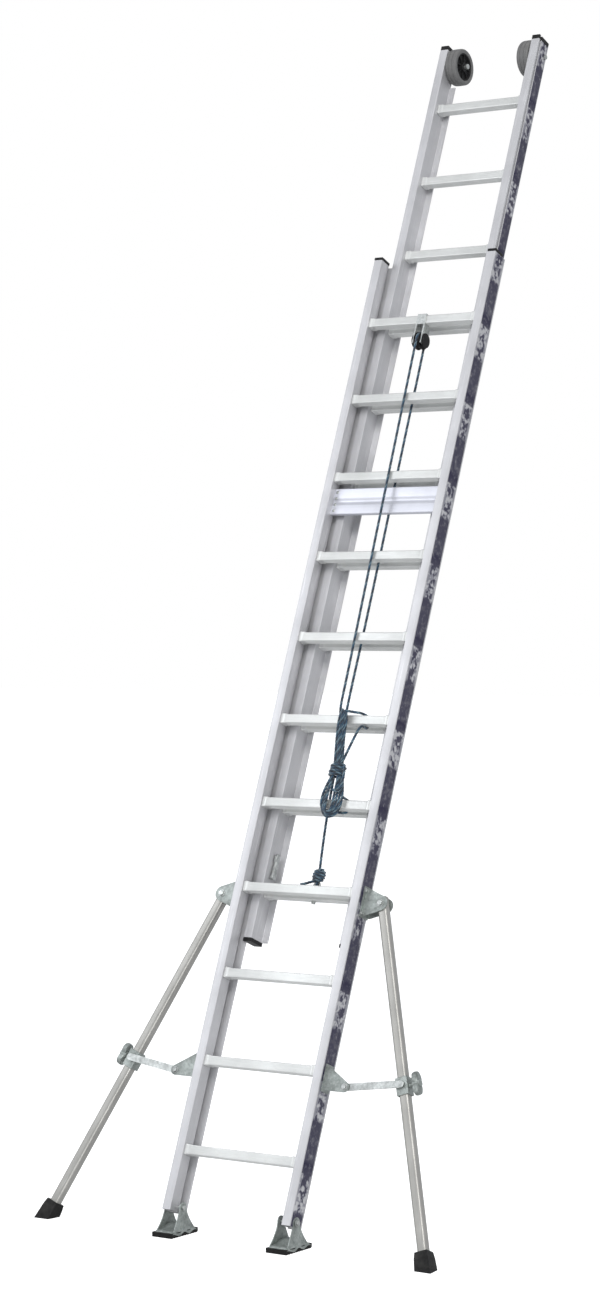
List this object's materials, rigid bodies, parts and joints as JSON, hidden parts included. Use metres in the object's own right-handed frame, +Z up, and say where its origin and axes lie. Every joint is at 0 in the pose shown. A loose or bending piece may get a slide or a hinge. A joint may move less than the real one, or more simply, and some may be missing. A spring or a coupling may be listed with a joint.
{
  "type": "extension_ladder",
  "caption": "Rope-operated two-section aluminium extension ladder leaning as in use, with wall rollers, articulated feet and folding stabiliser legs.",
  "frame": {"origin": "on the floor, under the middle of the leaning ladder's box", "axes": "+X to the right along the rungs, +Y level from the climber towards the wall, +Z up"},
  "size_m": [1.4572, 1.6751, 3.8429],
  "materials": {
    "stile_aluminium": "mill-finish extruded aluminium, satin",
    "rung_aluminium": "mill-finish aluminium tube, fine ribs",
    "zinc_steel": "zinc-plated pressed steel, satin",
    "black_plastic": "moulded black plastic, matt",
    "roller_tyre": "grey rubber tyre, matt",
    "black_rubber": "black moulded rubber, matt",
    "rope_fibre": "braided polyester rope, dark blue-green with light flecks"
  },
  "bodies": {
    "base": {"base_stile_left": "stile_aluminium", "base_stile_right": "stile_aluminium", "base_cap_left": "black_plastic", "base_cap_right": "black_plastic", "brace_plate": "rung_aluminium", "pulley_bracket": "zinc_steel", "rope_strands": "rope_fibre", "rope_hank": "rope_fibre", "stabiliser_hinge_left": "zinc_steel", "stabiliser_hinge_right": "zinc_steel", "brace_bracket_left": "zinc_steel", "brace_bracket_right": "zinc_steel", "base_rung_01": "rung_aluminium", "base_rung_02": "rung_aluminium", "base_rung_03": "rung_aluminium", "base_rung_04": "rung_aluminium", "base_rung_05": "rung_aluminium", "base_rung_06": "rung_aluminium", "base_rung_07": "rung_aluminium", "base_rung_08": "rung_aluminium", "base_rung_09": "rung_aluminium", "base_rung_10": "rung_aluminium", "base_rung_11": "rung_aluminium"},
    "fly": {"fly_stile_left": "stile_aluminium", "fly_stile_right": "stile_aluminium", "fly_cap_left": "black_plastic", "fly_cap_right": "black_plastic", "fly_plug_left": "black_plastic", "fly_plug_right": "black_plastic", "roller_axle_left": "zinc_steel", "roller_axle_right": "zinc_steel", "rope_eye_bolt": "zinc_steel", "fly_rung_01": "rung_aluminium", "fly_rung_02": "rung_aluminium", "fly_rung_03": "rung_aluminium", "fly_rung_04": "rung_aluminium", "fly_rung_05": "rung_aluminium", "fly_rung_06": "rung_aluminium", "fly_rung_07": "rung_aluminium", "fly_rung_08": "rung_aluminium", "fly_rung_09": "rung_aluminium", "fly_rung_10": "rung_aluminium", "fly_rung_11": "rung_aluminium"},
    "sheave": {"pulley_sheave": "black_plastic"},
    "roller_left": {"wall_roller_left": "roller_tyre"},
    "latch_left": {"latch_pawl_left": "zinc_steel"},
    "foot_left": {"foot_shoe_left": "zinc_steel", "foot_sole_left": "black_rubber"},
    "leg_left": {"stabiliser_leg_left": "stile_aluminium", "stabiliser_foot_left": "black_rubber"},
    "clamp_left": {"stabiliser_clamp_left": "zinc_steel"},
    "brace_left": {"stabiliser_brace_left": "zinc_steel"},
    "roller_right": {"wall_roller_right": "roller_tyre"},
    "latch_right": {"latch_pawl_right": "zinc_steel"},
    "foot_right": {"foot_shoe_right": "zinc_steel", "foot_sole_right": "black_rubber"},
    "leg_right": {"stabiliser_leg_right": "stile_aluminium", "stabiliser_foot_right": "black_rubber"},
    "clamp_right": {"stabiliser_clamp_right": "zinc_steel"},
    "brace_right": {"stabiliser_brace_right": "zinc_steel"}
  },
  "joints": [
    {"name": "fly_slide", "type": "slide", "parent": "base", "child": "fly", "axis": [0, 0.3688, 0.9295], "range_m": [-0.84, 1.4]},
    {"name": "sheave_turn", "type": "hinge", "parent": "base", "child": "sheave", "pos_m": [0, 0.29928, 2.78464], "axis": [1, 0, 0], "continuous": true},
    {"name": "roller_turn_left", "type": "hinge", "parent": "fly", "child": "roller_left", "pos_m": [-0.141, 0.77514, 3.7685], "axis": [1, 0, 0], "continuous": true},
    {"name": "latch_swing_left", "type": "hinge", "parent": "fly", "child": "latch_left", "pos_m": [0, -0.32443, 1.05795], "axis": [1, 0, 0], "range_deg": [0, 80]},
    {"name": "foot_tilt_left", "type": "hinge", "parent": "base", "child": "foot_left", "pos_m": [-0.21, -0.77014, 0.08365], "axis": [1, 0, 0], "range_deg": [-30, 15]},
    {"name": "leg_fold_left", "type": "hinge", "parent": "base", "child": "leg_left", "pos_m": [-0.297, -0.38852, 0.99947], "axis": [0, -0.9295, 0.3688], "range_deg": [0, 20.4]},
    {"name": "clamp_slide_left", "type": "slide", "parent": "leg_left", "child": "clamp_left", "axis": [-0.3486, -0.3456, -0.8712], "range_m": [0, 0.1768]},
    {"name": "brace_swing_left", "type": "hinge", "parent": "base", "child": "brace_left", "pos_m": [-0.3135, -0.62603, 0.47402], "axis": [0, -0.9295, 0.3688], "range_deg": [0, 103.3]},
    {"name": "roller_turn_right", "type": "hinge", "parent": "fly", "child": "roller_right", "pos_m": [0.141, 0.77514, 3.7685], "axis": [1, 0, 0], "continuous": true},
    {"name": "latch_swing_right", "type": "hinge", "parent": "fly", "child": "latch_right", "pos_m": [0, -0.32443, 1.05795], "axis": [1, 0, 0], "range_deg": [0, 80]},
    {"name": "foot_tilt_right", "type": "hinge", "parent": "base", "child": "foot_right", "pos_m": [0.21, -0.77014, 0.08365], "axis": [1, 0, 0], "range_deg": [-30, 15]},
    {"name": "leg_fold_right", "type": "hinge", "parent": "base", "child": "leg_right", "pos_m": [0.297, -0.38852, 0.99947], "axis": [0, 0.9295, -0.3688], "range_deg": [0, 20.4]},
    {"name": "clamp_slide_right", "type": "slide", "parent": "leg_right", "child": "clamp_right", "axis": [0.3486, -0.3456, -0.8712], "range_m": [0, 0.1768]},
    {"name": "brace_swing_right", "type": "hinge", "parent": "base", "child": "brace_right", "pos_m": [0.3135, -0.62603, 0.47402], "axis": [0, 0.9295, -0.3688], "range_deg": [0, 103.3]}
  ],
  "couplings": [
    {"joint": "sheave_turn", "follows": "fly_slide", "rad_per_m": 38.462},
    {"joint": "clamp_slide_left", "follows": "leg_fold_left", "m_per_rad": 0.4957},
    {"joint": "brace_swing_left", "follows": "leg_fold_left", "ratio": 5.056},
    {"joint": "clamp_slide_right", "follows": "leg_fold_right", "m_per_rad": 0.4957},
    {"joint": "brace_swing_right", "follows": "leg_fold_right", "ratio": 5.056}
  ]
}
